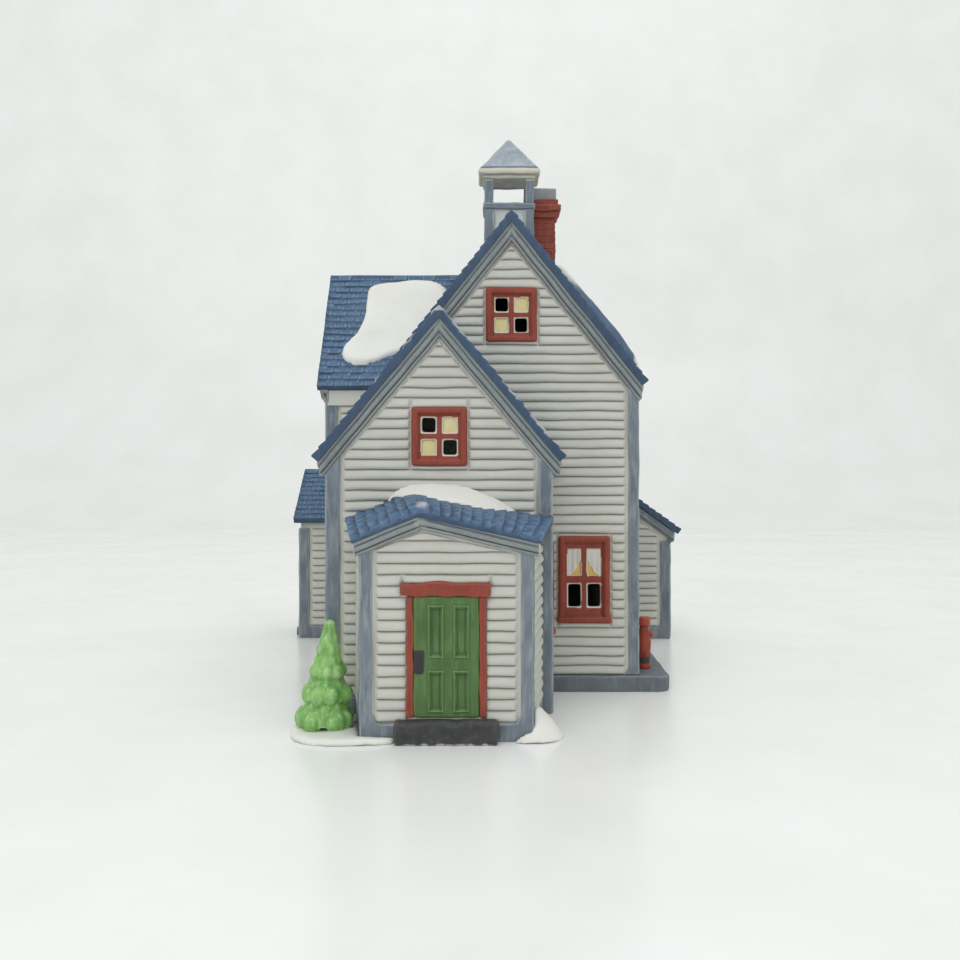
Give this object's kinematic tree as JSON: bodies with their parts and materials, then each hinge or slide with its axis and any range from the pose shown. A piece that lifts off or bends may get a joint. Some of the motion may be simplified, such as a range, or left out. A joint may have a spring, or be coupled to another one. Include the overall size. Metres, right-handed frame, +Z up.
{
  "type": "ceramic christmas village house",
  "caption": "Bisque ceramic village house with gabled wings, shingled blue roofs, cupola, chimney, snow and a pine, hollow and lit by a clip-in lamp in its rear wall.",
  "frame": {"origin": "on the table, under the middle of the house's bounding box", "axes": "+X to the right of the front door side, +Y from the front door to the rear wall, +Z up"},
  "size_m": [0.1604, 0.2016, 0.19],
  "materials": {
    "bisque_white": "matte",
    "trim_grey": "matte",
    "plinth_grey": "matte",
    "roof_blue": "satin",
    "window_red": "matte",
    "door_green": "satin",
    "charcoal": "matte",
    "brick_red": "matte",
    "cap_grey": "matte",
    "snow_white": "satin",
    "pine_green": "matte",
    "pane_amber": "satin",
    "curtain_white": "satin",
    "lamp_plastic": "satin",
    "spring_steel": "brushed",
    "brass": "satin",
    "bulb_glass": "clear"
  },
  "bodies": {
    "house": {"amber_panes": "pane_amber", "chimney_cap": "cap_grey", "chimney_stack": "brick_red", "cupola_base": "bisque_white", "cupola_posts": "trim_grey", "cupola_rails": "trim_grey", "cupola_roof": "roof_blue", "curtain_panes": "curtain_white", "door_latch_plate": "charcoal", "front_door": "door_green", "front_door_frame": "window_red", "front_door_lintel": "window_red", "front_step": "charcoal", "front_wing_rake_boards": "trim_grey", "front_wing_roof": "roof_blue", "front_wing_trim": "trim_grey", "front_wing_walls": "bisque_white", "left_gable_window": "window_red", "left_lean_to_roof": "roof_blue", "left_lean_to_trim": "trim_grey", "left_lean_to_walls": "bisque_white", "left_window": "window_red", "left_wing_rake_boards": "trim_grey", "left_wing_roof": "roof_blue", "left_wing_trim": "trim_grey", "left_wing_walls": "bisque_white", "main_corner_boards": "trim_grey", "main_front_window": "window_red", "main_gable_window": "window_red", "main_plinth": "plinth_grey", "main_rake_boards": "trim_grey", "main_roof": "roof_blue", "main_walls": "bisque_white", "pine_tree": "pine_green", "rear_gable_window": "window_red", "right_lean_to_roof": "roof_blue", "right_lean_to_trim": "trim_grey", "right_lean_to_walls": "bisque_white", "right_window_front": "window_red", "right_window_rear": "window_red", "side_door": "door_green", "side_step": "charcoal", "snow_drift": "snow_white", "snow_heap": "snow_white", "snow_left_wing": "snow_white", "snow_main_roof": "snow_white", "snow_vestibule_roof": "snow_white", "vestibule_rake_boards": "trim_grey", "vestibule_roof": "roof_blue", "vestibule_trim": "trim_grey", "vestibule_walls": "bisque_white", "wing_gable_window": "window_red", "wing_side_window": "window_red", "yard_pump": "brick_red"},
    "lamp": {"lamp_socket": "lamp_plastic", "lamp_clip": "spring_steel", "lamp_contact": "brass"},
    "bulb": {"bulb_base": "brass", "bulb_glass": "bulb_glass"}
  },
  "joints": [
    {"name": "lamp_pull", "type": "slide", "parent": "house", "child": "lamp", "axis": [0, 1, 0], "range_m": [0, 0.075]},
    {"name": "bulb_turn", "type": "hinge", "parent": "lamp", "child": "bulb", "pos_m": [0.0075, 0.0692, 0.036], "axis": [0, 1, 0], "range_deg": [0, 1080]}
  ]
}
